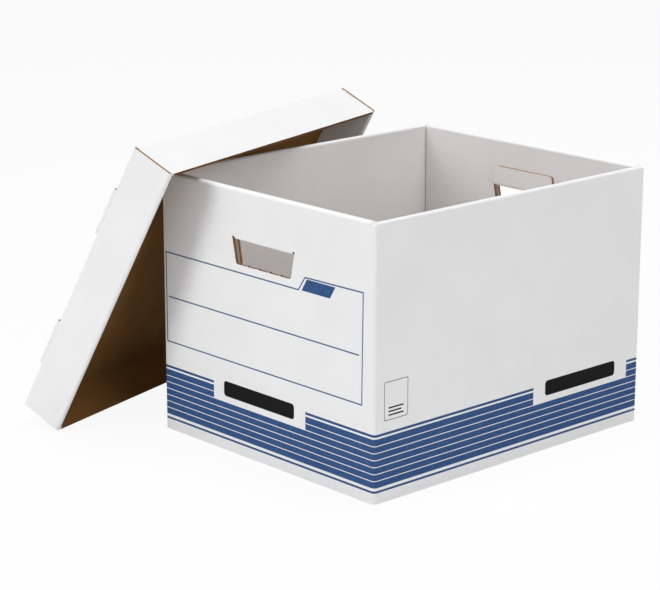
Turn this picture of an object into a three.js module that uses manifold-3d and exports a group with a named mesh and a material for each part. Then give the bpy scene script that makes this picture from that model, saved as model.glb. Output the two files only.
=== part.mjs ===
// Archive storage box of white-lined corrugated board, with its lift-off lid leaning on one side.
// Units are millimetres. +Z is up, the front handle wall faces -Y, and the origin is the centre
// of the underside of the box.

import * as THREE from "three";
import { mergeVertices } from "three/addons/utils/BufferGeometryUtils.js";
import Module from "manifold-3d";

const wasm = await Module();
wasm.setup();

// Board: one ply of fine-flute corrugated board with its two liners.
const BOARD = 3.2;
// A cut between two flaps of one sheet leaves this gap.
const CUT_GAP = 1.2;
// Outer radius of a single-ply fold.
const FOLD_RADIUS = 2.6;

// Box body, outside sizes.
const BODY_WIDTH = 337;
const BODY_DEPTH = 407;
const BODY_HEIGHT = 292;
// The roll-overs at the top stop where the round of the corner fold begins, and leave a notch.
const CORNER_RADIUS = 4.5;
const CORNER_NOTCH_DEPTH = 2.5;
// The long walls are rolled over double. The handle walls also hold a tucked flap between.
const SIDE_WALL_PLIES = 2;
const END_WALL_PLIES = 3;

// Base: glued side flaps outside, end flaps inside.
const BASE_FLAP_LENGTH = 166;
const BASE_HOOK_OFFSET = 14;
const BASE_HOOK_Y = 34;

// Hand hole in each handle wall: a trapezoid, wide at the top. Its flap is folded in round the top
// edge and up the inner face, so that the thickness of the fold hangs a little below the cut.
const HOLE_TOP_Z = 241;
const HOLE_HEIGHT = 29.5;
const HOLE_TOP_WIDTH = 99;
const HOLE_BOTTOM_WIDTH = 86.5;
const HOLE_CORNER_RADIUS = 3;
// The middle ply is cut wider and lower than the outer one, and the inner ply lower.
const MIDDLE_PLY_SPARE = 6;
const INNER_PLY_SPARE = 4;
const FLAP_ROLL = 3.4;
const FLAP_RELIEF = 3.5;
// Short stubs of board that held the flap to the wall until it was pushed in.
const NICK_WIDTH = 1.8;
const NICK_HEIGHT = 0.8;
const NICKS_PER_HOLE = 4;

// Lid: it fits over the box with this clearance on every side.
const LID_CLEARANCE = 2;
const LID_DEPTH = 52;
const LID_SIDE_PLIES = 1;
const LID_END_PLIES = 2;
// Locking tabs of each rolled-over short wall, which poke out through the top's crease.
const LID_TAB_WIDTH = 59;
const LID_TAB_FROM_END = 56;
const LID_TAB_PROUD = 4.5;
const LID_TAB_RADIUS = 1.6;

// How the lid leans: its lower rim stands on the floor, and its panel leans on a top corner of the box.
const LEAN_TILT_DEG = 62.5;
const LEAN_TURN_DEG = 16.3;
const LEAN_FRONT_Y = -301;
const LEAN_GAP = 0.3;

const ARC_STEPS = 6;
// Cutting bodies reach this far past the surfaces they cut, and added ones are seated this deep.
const PAST = 5;
const SEATED = 0.05;

const SIDE_WALL = SIDE_WALL_PLIES * BOARD;
const END_WALL = END_WALL_PLIES * BOARD;
const INSIDE_WIDTH = BODY_WIDTH - 2 * SIDE_WALL;
const INSIDE_DEPTH = BODY_DEPTH - 2 * END_WALL;
const BASE = 2 * BOARD;

const LID_SIDE_WALL = LID_SIDE_PLIES * BOARD;
const LID_END_WALL = LID_END_PLIES * BOARD;
const LID_WIDTH = BODY_WIDTH + 2 * (LID_CLEARANCE + LID_SIDE_WALL);
const LID_LENGTH = BODY_DEPTH + 2 * (LID_CLEARANCE + LID_END_WALL);

const radians = THREE.MathUtils.degToRad;

// A closed three.js geometry as a solid that can be joined and cut.
function solid(geometry) {
  const bare = geometry.clone();
  bare.deleteAttribute("normal");
  bare.deleteAttribute("uv");
  const merged = mergeVertices(bare, 1e-4);
  return new wasm.Manifold(
    new wasm.Mesh({
      numProp: 3,
      vertProperties: new Float32Array(merged.attributes.position.array),
      triVerts: new Uint32Array(merged.index.array),
    }),
  );
}

// A block between two corners.
function block(low, high) {
  const size = high.map((value, i) => value - low[i]);
  const geometry = new THREE.BoxGeometry(...size);
  geometry.translate(...low.map((value, i) => value + size[i] / 2));
  return solid(geometry);
}

// Each section is drawn in the plane across its direction of extrusion:
// along X it is (y, z), along Y it is (-x, z) and along Z it is (x, y).
const SECTION_AXES = {
  x: [new THREE.Vector3(0, 1, 0), new THREE.Vector3(0, 0, 1), new THREE.Vector3(1, 0, 0)],
  y: [new THREE.Vector3(-1, 0, 0), new THREE.Vector3(0, 0, 1), new THREE.Vector3(0, 1, 0)],
  z: [new THREE.Vector3(1, 0, 0), new THREE.Vector3(0, 1, 0), new THREE.Vector3(0, 0, 1)],
};

// An outline swept from one place to another along an axis.
function sweep(shape, axis, from, to) {
  const geometry = new THREE.ExtrudeGeometry(shape, {
    depth: to - from,
    bevelEnabled: false,
    curveSegments: ARC_STEPS,
  });
  geometry.translate(0, 0, from);
  geometry.applyMatrix4(new THREE.Matrix4().makeBasis(...SECTION_AXES[axis]));
  return solid(geometry);
}

// A closed outline through corners, each rounded by its own radius.
function roundedOutline(corners) {
  const shape = new THREE.Shape();
  const count = corners.length;
  corners.forEach(([x, y, radius = 0], i) => {
    const here = new THREE.Vector2(x, y);
    const before = new THREE.Vector2(...corners[(i + count - 1) % count]);
    const after = new THREE.Vector2(...corners[(i + 1) % count]);
    const back = before.sub(here).normalize();
    const onward = after.sub(here).normalize();
    const halfAngle = Math.acos(THREE.MathUtils.clamp(back.dot(onward), -1, 1)) / 2;
    const reach = radius / Math.tan(halfAngle);
    const entry = here.clone().addScaledVector(back, reach);
    if (i === 0) shape.moveTo(entry.x, entry.y);
    else shape.lineTo(entry.x, entry.y);
    if (radius > 0) {
      const toCentre = back.clone().add(onward).normalize();
      const centre = here.clone().addScaledVector(toCentre, radius / Math.sin(halfAngle));
      const start = entry.clone().sub(centre).angle();
      const end = here.clone().addScaledVector(onward, reach).sub(centre).angle();
      const turn = back.cross(onward) < 0;
      shape.absarc(centre.x, centre.y, radius, start, end, !turn);
    }
  });
  return shape;
}

function joined(solids) {
  return solids.reduce((whole, piece) => whole.add(piece));
}

function meshOf(shape, name, material) {
  const { numProp, vertProperties, triVerts } = shape.getMesh();
  const indexed = new THREE.BufferGeometry();
  const positions = new Float32Array((vertProperties.length / numProp) * 3);
  for (let i = 0; i < positions.length / 3; i++) {
    positions.set(vertProperties.subarray(i * numProp, i * numProp + 3), i * 3);
  }
  indexed.setAttribute("position", new THREE.BufferAttribute(positions, 3));
  indexed.setIndex(new THREE.BufferAttribute(new Uint32Array(triVerts), 1));
  const geometry = indexed.toNonIndexed();
  geometry.computeVertexNormals();
  const mesh = new THREE.Mesh(geometry, material);
  mesh.name = name;
  return mesh;
}

// Section of a rolled-over wall. Its foot is square, and both edges of its top are the fold
// of one ply over the plies inside. The outer face lies at 0 and the inner at `thickness`.
function rolledSection(thickness, height) {
  const radius = Math.min(BOARD, thickness / 2 - 0.01);
  return roundedOutline([
    [0, 0],
    [thickness, 0],
    [thickness, height, radius],
    [0, height, radius],
  ]);
}

// The tube of the body: four walls with round vertical corners, each wall rolled over at the top.
function bodyWalls() {
  const halfWidth = BODY_WIDTH / 2;
  const halfDepth = BODY_DEPTH / 2;
  const tube = sweep(
    roundedOutline([
      [-halfWidth, -halfDepth, CORNER_RADIUS],
      [halfWidth, -halfDepth, CORNER_RADIUS],
      [halfWidth, halfDepth, CORNER_RADIUS],
      [-halfWidth, halfDepth, CORNER_RADIUS],
    ]),
    "z",
    0,
    BODY_HEIGHT - CORNER_NOTCH_DEPTH,
  );
  const insideX = INSIDE_WIDTH / 2;
  const insideY = INSIDE_DEPTH / 2;
  const hollow = block([-insideX, -insideY, BASE], [insideX, insideY, BODY_HEIGHT + PAST]);

  const railX = halfWidth - CORNER_RADIUS;
  const railY = halfDepth - CORNER_RADIUS;
  const endRail = sweep(rolledSection(END_WALL, BODY_HEIGHT), "x", -railX, railX);
  const sideRail = sweep(rolledSection(SIDE_WALL, BODY_HEIGHT), "y", -railY, railY);
  const rimOnly = block(
    [-halfWidth - PAST, -halfDepth - PAST, BODY_HEIGHT - CORNER_NOTCH_DEPTH - BOARD],
    [halfWidth + PAST, halfDepth + PAST, BODY_HEIGHT + PAST],
  );
  const front = endRail.translate([0, -halfDepth, 0]);
  const right = sideRail.translate([halfWidth, 0, 0]);
  const rails = joined([
    front,
    front.rotate([0, 0, 180]),
    right,
    right.rotate([0, 0, 180]),
  ]).intersect(rimOnly);
  return tube.subtract(hollow).add(rails);
}

// Cuts of the sheet that stay open after folding: the slits between the roll-overs at the top
// corners, and the seams where the inner plies meet in the corners inside.
function bodyCuts() {
  const cuts = [];
  const insideX = INSIDE_WIDTH / 2;
  const insideY = INSIDE_DEPTH / 2;
  const slitTop = BODY_HEIGHT - CORNER_NOTCH_DEPTH;
  for (const sx of [-1, 1]) {
    for (const sy of [-1, 1]) {
      const cornerX = sx * (BODY_WIDTH / 2);
      const cornerY = sy * (BODY_DEPTH / 2);
      // Slit along the line where the side wall's rim meets the handle wall's rim.
      const slit = block(
        [-CUT_GAP / 2, -PAST, slitTop],
        [CUT_GAP / 2, END_WALL - BOARD, BODY_HEIGHT + PAST],
      );
      const outward = sy < 0 ? 0 : 180;
      cuts.push(
        slit
          .rotate([0, 0, outward])
          .translate([cornerX - sx * (SIDE_WALL + CUT_GAP / 2), cornerY, 0]),
      );
      // Seam inside: the handle wall's inner ply stops just short of the side wall.
      const lowX = Math.min(sx * insideX, sx * (insideX - CUT_GAP));
      const lowY = Math.min(sy * insideY, sy * (insideY + BOARD));
      cuts.push(
        block(
          [lowX, lowY, BASE - BOARD],
          [lowX + CUT_GAP, lowY + BOARD, BODY_HEIGHT + PAST],
        ),
      );
    }
  }
  return joined(cuts);
}

// The base: the seam between the two outer flaps hooks to one side and then to the other,
// and the inner flaps leave a shallow strip between them.
function baseCuts() {
  const reachY = BODY_DEPTH / 2 - END_WALL;
  const seam = joined([
    block([BASE_HOOK_OFFSET, -reachY, -PAST], [BASE_HOOK_OFFSET + CUT_GAP, BASE_HOOK_Y, BOARD]),
    block(
      [-BASE_HOOK_OFFSET, BASE_HOOK_Y - CUT_GAP, -PAST],
      [BASE_HOOK_OFFSET + CUT_GAP, BASE_HOOK_Y, BOARD],
    ),
    block([-BASE_HOOK_OFFSET, BASE_HOOK_Y - CUT_GAP, -PAST], [CUT_GAP - BASE_HOOK_OFFSET, reachY, BOARD]),
  ]);
  const stripHalf = BODY_DEPTH / 2 - BASE_FLAP_LENGTH;
  const strip = block(
    [-INSIDE_WIDTH / 2, -stripHalf, BOARD],
    [INSIDE_WIDTH / 2, stripHalf, BASE + PAST],
  );
  return seam.add(strip);
}

// Everything about the front hand hole is drawn for the wall at -Y, and turned for the rear one.
function handHole() {
  const outerY = -BODY_DEPTH / 2;
  const flapInnerY = outerY + END_WALL + BOARD;
  const bottomZ = HOLE_TOP_Z - HOLE_HEIGHT;
  const foldHalf = HOLE_TOP_WIDTH / 2 - FLAP_RELIEF;
  const flapEndZ = HOLE_TOP_Z + HOLE_HEIGHT - END_WALL;

  const cutPly = (spareSide, spareLow, fromY, toY) =>
    sweep(
      roundedOutline([
        [-HOLE_BOTTOM_WIDTH / 2 - spareSide, bottomZ - spareLow, HOLE_CORNER_RADIUS],
        [HOLE_BOTTOM_WIDTH / 2 + spareSide, bottomZ - spareLow, HOLE_CORNER_RADIUS],
        [HOLE_TOP_WIDTH / 2 + spareSide, HOLE_TOP_Z],
        [-HOLE_TOP_WIDTH / 2 - spareSide, HOLE_TOP_Z],
      ]),
      "y",
      fromY,
      toY,
    );
  const opening = joined([
    cutPly(0, 0, outerY - PAST, outerY + BOARD),
    cutPly(MIDDLE_PLY_SPARE, INNER_PLY_SPARE, outerY + BOARD, outerY + 2 * BOARD),
    cutPly(0, INNER_PLY_SPARE, outerY + 2 * BOARD, outerY + END_WALL + PAST),
  ]);

  // The fold round the top edge, from the outer face through the wall to the flap inside.
  const rollSection = new THREE.Shape();
  rollSection.moveTo(outerY, HOLE_TOP_Z + BOARD);
  rollSection.lineTo(outerY, HOLE_TOP_Z);
  rollSection.absarc(outerY + FLAP_ROLL, HOLE_TOP_Z, FLAP_ROLL, Math.PI, 1.5 * Math.PI, false);
  rollSection.absarc(flapInnerY - FLAP_ROLL, HOLE_TOP_Z, FLAP_ROLL, 1.5 * Math.PI, 2 * Math.PI, false);
  rollSection.lineTo(flapInnerY, HOLE_TOP_Z + BOARD);
  const roll = sweep(rollSection, "x", -foldHalf, foldHalf);

  // The tucked flap is the cut-out itself, turned up against the inner face.
  const flap = sweep(
    roundedOutline([
      [foldHalf, HOLE_TOP_Z],
      [HOLE_BOTTOM_WIDTH / 2, flapEndZ, HOLE_CORNER_RADIUS],
      [-HOLE_BOTTOM_WIDTH / 2, flapEndZ, HOLE_CORNER_RADIUS],
      [-foldHalf, HOLE_TOP_Z],
    ]),
    "y",
    flapInnerY - BOARD - SEATED,
    flapInnerY,
  );

  // Nicks along the lower edge of the outer ply.
  const nicks = [];
  const pitch = HOLE_BOTTOM_WIDTH / (NICKS_PER_HOLE + 1);
  for (let i = 1; i <= NICKS_PER_HOLE; i++) {
    const x = -HOLE_BOTTOM_WIDTH / 2 + i * pitch;
    nicks.push(
      block(
        [x - NICK_WIDTH / 2, outerY, bottomZ - NICK_HEIGHT],
        [x + NICK_WIDTH / 2, outerY + BOARD, bottomZ + NICK_HEIGHT],
      ),
    );
  }
  return { opening, added: joined([roll, flap, ...nicks]) };
}

function makeBody() {
  const hole = handHole();
  return bodyWalls()
    .subtract(bodyCuts())
    .subtract(baseCuts())
    .subtract(hole.opening)
    .subtract(hole.opening.rotate([0, 0, 180]))
    .add(hole.added)
    .add(hole.added.rotate([0, 0, 180]));
}

// The lid in its own frame: the top's outer face at z = 0, the rim at z = -LID_DEPTH,
// x across the short side and y along the long side, both from the middle.
function makeLid() {
  const halfWidth = LID_WIDTH / 2;
  const halfLength = LID_LENGTH / 2;

  // Top and long walls are one ply, folded along the long edges.
  const channel = sweep(
    roundedOutline([
      [-halfWidth, -LID_DEPTH],
      [LID_SIDE_WALL - halfWidth, -LID_DEPTH],
      [LID_SIDE_WALL - halfWidth, -BOARD],
      [halfWidth - LID_SIDE_WALL, -BOARD],
      [halfWidth - LID_SIDE_WALL, -LID_DEPTH],
      [halfWidth, -LID_DEPTH],
      [halfWidth, 0, FOLD_RADIUS],
      [-halfWidth, 0, FOLD_RADIUS],
    ]),
    "y",
    -halfLength,
    halfLength,
  );

  // Each short wall is one ply outside, rolled over at the rim to a second ply inside.
  const rimRadius = Math.min(BOARD, LID_END_WALL / 2 - 0.01);
  const endSection = roundedOutline([
    [-halfLength, 0, FOLD_RADIUS],
    [-halfLength, -LID_DEPTH, rimRadius],
    [LID_END_WALL - halfLength, -LID_DEPTH, rimRadius],
    [LID_END_WALL - halfLength, 0, 0],
  ]);
  const end = sweep(endSection, "x", -halfWidth, halfWidth);
  // The channel's own ends are trimmed to the end walls' folds and rims.
  const trim = block(
    [-halfWidth - PAST, -halfLength - PAST, -LID_DEPTH - PAST],
    [halfWidth + PAST, LID_END_WALL - halfLength, PAST],
  );

  // A cut line on each long side, where the short wall's outer ply ends against the long wall's fold.
  const fold = new THREE.Shape();
  fold.moveTo(-FOLD_RADIUS, 0);
  fold.absarc(-FOLD_RADIUS, -FOLD_RADIUS, FOLD_RADIUS, Math.PI / 2, 0, true);
  fold.lineTo(0, 0);
  const cornerLine = sweep(fold, "z", -LID_DEPTH - PAST, -BOARD);

  let lid = channel;
  const tabs = [];
  for (const turn of [0, 180]) {
    lid = lid.subtract(trim.rotate([0, 0, turn])).add(end.rotate([0, 0, turn]));
  }
  for (const sx of [-1, 1]) {
    for (const sy of [-1, 1]) {
      const line = (sx * sy > 0 ? cornerLine : cornerLine.mirror([1, 0, 0])).rotate([0, 0, sy > 0 ? 0 : 180]);
      lid = lid.subtract(line.translate([sx * halfWidth, sy * (halfLength - BOARD), 0]));

      // A locking tab of the inner ply, standing through the crease.
      const nearX = sx * (halfWidth - LID_TAB_FROM_END);
      const farX = sx * (halfWidth - LID_TAB_FROM_END - LID_TAB_WIDTH);
      const tab = sweep(
        roundedOutline([
          [Math.min(nearX, farX), -2 * BOARD],
          [Math.max(nearX, farX), -2 * BOARD],
          [Math.max(nearX, farX), LID_TAB_PROUD, LID_TAB_RADIUS],
          [Math.min(nearX, farX), LID_TAB_PROUD, LID_TAB_RADIUS],
        ]),
        "y",
        halfLength - LID_END_WALL,
        halfLength - BOARD,
      );
      tabs.push(sy > 0 ? tab : tab.rotate([0, 0, 180]));
    }
  }
  return lid.add(joined(tabs));
}

// The leaning place of the lid. Its x runs up the slope, its y along the box and its z outwards
// from the panel. The inner face of the panel rests on the round rim of the box's corner.
function leaningPlace() {
  const tilt = radians(LEAN_TILT_DEG);
  const turn = radians(LEAN_TURN_DEG);
  const side = new THREE.Vector3(Math.cos(turn), Math.sin(turn), 0);
  const along = new THREE.Vector3(-Math.sin(turn), Math.cos(turn), 0);
  const up = new THREE.Vector3(0, 0, 1);
  const slope = side.clone().multiplyScalar(Math.cos(tilt)).addScaledVector(up, Math.sin(tilt));
  const outward = up.clone().multiplyScalar(Math.cos(tilt)).addScaledVector(side, -Math.sin(tilt));

  // The corner's furthest point towards the panel is on the end of the side wall's roll-over, on
  // the handle wall's, or on the cut top of the corner fold between them.
  const rimRadius = Math.min(BOARD, SIDE_WALL / 2);
  const sideEnd = new THREE.Vector3(
    -BODY_WIDTH / 2 + rimRadius,
    -BODY_DEPTH / 2 + CORNER_RADIUS,
    BODY_HEIGHT - rimRadius,
  );
  const acrossWall = new THREE.Vector3(outward.x, 0, outward.z).length();
  const sideReach = sideEnd.dot(outward) + rimRadius * acrossWall;
  const handleEnd = new THREE.Vector3(
    -BODY_WIDTH / 2 + CORNER_RADIUS,
    -BODY_DEPTH / 2 + rimRadius,
    BODY_HEIGHT - rimRadius,
  );
  const acrossHandle = new THREE.Vector3(0, outward.y, outward.z).length();
  const handleReach = handleEnd.dot(outward) + rimRadius * acrossHandle;
  const foldCentre = new THREE.Vector3(
    -BODY_WIDTH / 2 + CORNER_RADIUS,
    -BODY_DEPTH / 2 + CORNER_RADIUS,
    BODY_HEIGHT - CORNER_NOTCH_DEPTH,
  );
  const acrossFold = new THREE.Vector3(outward.x, outward.y, 0).length();
  const foldReach = foldCentre.dot(outward) + CORNER_RADIUS * acrossFold;
  const panelPlane = Math.max(sideReach, handleReach, foldReach) + LEAN_GAP + BOARD;

  // The foot is the lower front corner of the rim, on the floor. From it the panel's outer
  // plane is one lid depth outwards, which gives the foot's place across.
  const footX = (panelPlane - LID_DEPTH - LEAN_FRONT_Y * outward.y) / outward.x;
  const foot = new THREE.Vector3(footX, LEAN_FRONT_Y, 0);
  const middle = foot
    .clone()
    .addScaledVector(outward, LID_DEPTH)
    .addScaledVector(slope, LID_WIDTH / 2)
    .addScaledVector(along, LID_LENGTH / 2);
  return new THREE.Matrix4().makeBasis(slope, along, outward).setPosition(middle);
}

const printedBoard = new THREE.MeshStandardMaterial({ color: 0xe6e6e6, roughness: 0.62, metalness: 0 });
const whiteBoard = new THREE.MeshStandardMaterial({ color: 0xececee, roughness: 0.66, metalness: 0 });

const storageBox = new THREE.Group();
storageBox.add(meshOf(makeBody(), "box_body", printedBoard));

const lid = meshOf(makeLid(), "lid", whiteBoard);
const leaning = new THREE.Group();
leaning.applyMatrix4(leaningPlace());
leaning.add(lid);
storageBox.add(leaning);

export default storageBox;
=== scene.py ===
# %% [markdown]
# The object is an archive storage box with its lift-off lid leaning on one side. Both are folded
# from one sheet of fine-flute corrugated board each: white coated paper outside, brown kraft
# paper inside, and a wavy paper between them. The solid model gives the folded shapes, so this
# script gives them their cut edges, their print and their paper.

# %% Load the frame
import math

import bmesh
import bpy
from mathutils import Matrix, Vector


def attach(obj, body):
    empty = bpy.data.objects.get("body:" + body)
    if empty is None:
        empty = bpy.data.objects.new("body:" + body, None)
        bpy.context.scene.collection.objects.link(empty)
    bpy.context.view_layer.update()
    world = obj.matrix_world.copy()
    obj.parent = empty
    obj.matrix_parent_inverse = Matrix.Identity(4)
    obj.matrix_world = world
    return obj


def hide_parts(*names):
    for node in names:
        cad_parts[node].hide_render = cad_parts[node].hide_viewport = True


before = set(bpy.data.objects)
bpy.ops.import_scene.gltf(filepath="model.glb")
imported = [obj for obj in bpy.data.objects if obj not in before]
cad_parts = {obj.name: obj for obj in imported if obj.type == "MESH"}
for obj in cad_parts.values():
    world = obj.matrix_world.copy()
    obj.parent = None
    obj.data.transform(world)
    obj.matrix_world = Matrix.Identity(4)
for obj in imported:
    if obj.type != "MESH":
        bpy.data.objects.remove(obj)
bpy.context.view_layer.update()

MM = 0.001    # Blender works in metres, and most sizes in this script are in millimetres.

# %% [markdown]
# The camera comes first. The photo was taken from the front right, a little above the rim, with a
# long lens from two and a half metres. A long lens keeps the box's upright edges nearly parallel,
# as a product photographer wants them.

# %% Camera
CAMERA_TURN = math.radians(47.56)
CAMERA_RISE = math.radians(15.19)
CAMERA_DISTANCE_M = 2.559
CAMERA_TARGET = Vector((-0.1197, 0.0, 0.1249))
SENSOR_MM, LENS_MM = 36.0, 121.9
SIGHT_M = 100.0    # far enough to see the whole floor

camera_data = bpy.data.cameras.new("camera")
camera_data.sensor_width = SENSOR_MM
camera_data.lens = LENS_MM
camera_data.clip_end = SIGHT_M
camera = bpy.data.objects.new("camera", camera_data)
bpy.context.scene.collection.objects.link(camera)
towards_camera = Vector((
    math.sin(CAMERA_TURN) * math.cos(CAMERA_RISE),
    -math.cos(CAMERA_TURN) * math.cos(CAMERA_RISE),
    math.sin(CAMERA_RISE),
))
camera.location = CAMERA_TARGET + CAMERA_DISTANCE_M * towards_camera
camera.rotation_euler = towards_camera.to_track_quat("Z", "Y").to_euler()
bpy.context.scene.camera = camera
print("camera at", tuple(round(v, 3) for v in camera.location))

# %% [markdown]
# Two helpers serve every material. Colours are written as the hex values one would pick on a
# screen, and Blender computes with linear light, so one function converts them. The other adds a
# node with its settings and links, which keeps a node tree readable as a list of steps.

# %% Helpers for materials
def paint(hex_colour):
    # The numbers are those of the sRGB standard.
    channels = [int(hex_colour[i:i + 2], 16) / 255 for i in (1, 3, 5)]
    linear = [c / 12.92 if c <= 0.04045 else ((c + 0.055) / 1.055) ** 2.4 for c in channels]
    return (*linear, 1.0)


def add(tree, kind, sockets=None, **settings):
    node = tree.nodes.new(kind)
    for name, value in settings.items():
        setattr(node, name, value)
    for key, value in (sockets or {}).items():
        if isinstance(value, bpy.types.NodeSocket):
            tree.links.new(value, node.inputs[key])
        else:
            node.inputs[key].default_value = value
    return node


print("half grey on the screen is", round(paint("#808080")[0], 3), "in linear light")

# %% [markdown]
# The print is flat ink: stripes, ruled lines, a tab and a plaque. Each shape is worked out from
# the place of the point on the wall, as its distance from a line or from a rounded rectangle.
# Ink is where that distance is below zero. Two small node groups hold these two sums, with the
# sizes as named inputs in millimetres, so the edges stay sharp at any render size. The first is
# for a ruled line: the nearest point of the line is found, and then the way to it is measured.

# %% Group for a ruled line
def new_group(name, inputs, output):
    group = bpy.data.node_groups.new(name, "ShaderNodeTree")
    for label, kind in inputs:
        group.interface.new_socket(label, in_out="INPUT", socket_type=kind)
    group.interface.new_socket(output, in_out="OUTPUT", socket_type="NodeSocketFloat")
    return group, group.nodes.new("NodeGroupInput").outputs, group.nodes.new("NodeGroupOutput").inputs


line_group, given, result = new_group(
    "distance from a ruled line",
    [("Place", "NodeSocketVector"), ("Start", "NodeSocketVector"), ("End", "NodeSocketVector"),
     ("Width", "NodeSocketFloat")],
    "Distance",
)
run = add(line_group, "ShaderNodeVectorMath", {0: given["End"], 1: given["Start"]},
          operation="SUBTRACT")
reach = add(line_group, "ShaderNodeVectorMath", {0: given["Place"], 1: given["Start"]},
            operation="SUBTRACT")
run_squared = add(line_group, "ShaderNodeVectorMath", {0: run.outputs[0], 1: run.outputs[0]},
                  operation="DOT_PRODUCT")
shadow = add(line_group, "ShaderNodeVectorMath", {0: reach.outputs[0], 1: run.outputs[0]},
             operation="DOT_PRODUCT")
share = add(line_group, "ShaderNodeMath", {0: shadow.outputs["Value"], 1: run_squared.outputs["Value"]},
            operation="DIVIDE", use_clamp=True)
nearest = add(line_group, "ShaderNodeVectorMath", {0: run.outputs[0], "Scale": share.outputs[0]},
              operation="SCALE")
gap = add(line_group, "ShaderNodeVectorMath", {0: reach.outputs[0], 1: nearest.outputs[0]},
          operation="SUBTRACT")
length = add(line_group, "ShaderNodeVectorMath", {0: gap.outputs[0]}, operation="LENGTH")
half_line = add(line_group, "ShaderNodeMath", {0: given["Width"], 1: 0.5}, operation="MULTIPLY")
line_distance = add(line_group, "ShaderNodeMath", {0: length.outputs["Value"], 1: half_line.outputs[0]},
                    operation="SUBTRACT")
line_group.links.new(line_distance.outputs[0], result["Distance"])
print("made the group", line_group.name)

# %% [markdown]
# The second group is for a rounded rectangle, which gives the stripes, the plaques and the tab.
# The rectangle is folded onto one quarter, made smaller by its corner radius, and the distance
# from that smaller core less the radius is the distance from the rounded shape.

# %% Group for a rounded field
field_group, given, result = new_group(
    "distance from a rounded field",
    [("Place", "NodeSocketVector"), ("Centre", "NodeSocketVector"), ("Half size", "NodeSocketVector"),
     ("Radius", "NodeSocketFloat")],
    "Distance",
)
offset = add(field_group, "ShaderNodeVectorMath", {0: given["Place"], 1: given["Centre"]},
             operation="SUBTRACT")
folded = add(field_group, "ShaderNodeVectorMath", {0: offset.outputs[0]}, operation="ABSOLUTE")
radius_vector = add(field_group, "ShaderNodeCombineXYZ", {"X": given["Radius"], "Y": given["Radius"]})
core = add(field_group, "ShaderNodeVectorMath", {0: given["Half size"], 1: radius_vector.outputs[0]},
           operation="SUBTRACT")
past = add(field_group, "ShaderNodeVectorMath", {0: folded.outputs[0], 1: core.outputs[0]},
           operation="SUBTRACT")
outside = add(field_group, "ShaderNodeVectorMath", {0: past.outputs[0], 1: (0.0, 0.0, 0.0)},
              operation="MAXIMUM")
outside_length = add(field_group, "ShaderNodeVectorMath", {0: outside.outputs[0]}, operation="LENGTH")
past_parts = add(field_group, "ShaderNodeSeparateXYZ", {0: past.outputs[0]})
inner = add(field_group, "ShaderNodeMath", {0: past_parts.outputs["X"], 1: past_parts.outputs["Y"]},
            operation="MAXIMUM")
inner_depth = add(field_group, "ShaderNodeMath", {0: inner.outputs[0], 1: 0.0}, operation="MINIMUM")
whole = add(field_group, "ShaderNodeMath", {0: outside_length.outputs["Value"], 1: inner_depth.outputs[0]},
            operation="ADD")
field_distance = add(field_group, "ShaderNodeMath", {0: whole.outputs[0], 1: given["Radius"]},
                     operation="SUBTRACT")
field_group.links.new(field_distance.outputs[0], result["Distance"])
print("made the group", field_group.name)

# %% [markdown]
# White coated liner is the paper on the outside. It is bleached top liner with a thin clay coat:
# a matt, faintly mottled white, through which the flutes show as a very shallow washboard. In this
# board they run upright in the walls of the box and across the lid. The coat takes a smooth soft
# light, so the roughness is high and even. The flute pitch is 6.5 mm, the fibre mottle is 1.5 mm
# and the walls' slow unevenness is about 120 mm from swell to swell.

# %% White coated liner
FLUTE_PITCH_MM = 6.5
MOTTLE_MM, CLOUD_MM, SWELL_MM = 1.5, 60, 120
WASHBOARD_HEIGHT_MM, FIBRE_HEIGHT_MM, SWELL_HEIGHT_MM = 0.02, 0.02, 0.7
COAT_DARK, COAT_LIGHT = "#F1F1F2", "#F6F6F7"

# Noise gathers round its middle, so that middle range is stretched over the whole of a mix.
ONE_NOISE = {"From Min": 0.35, "From Max": 0.65}
TWO_NOISES = {"From Min": 0.7, "From Max": 1.3}


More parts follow.
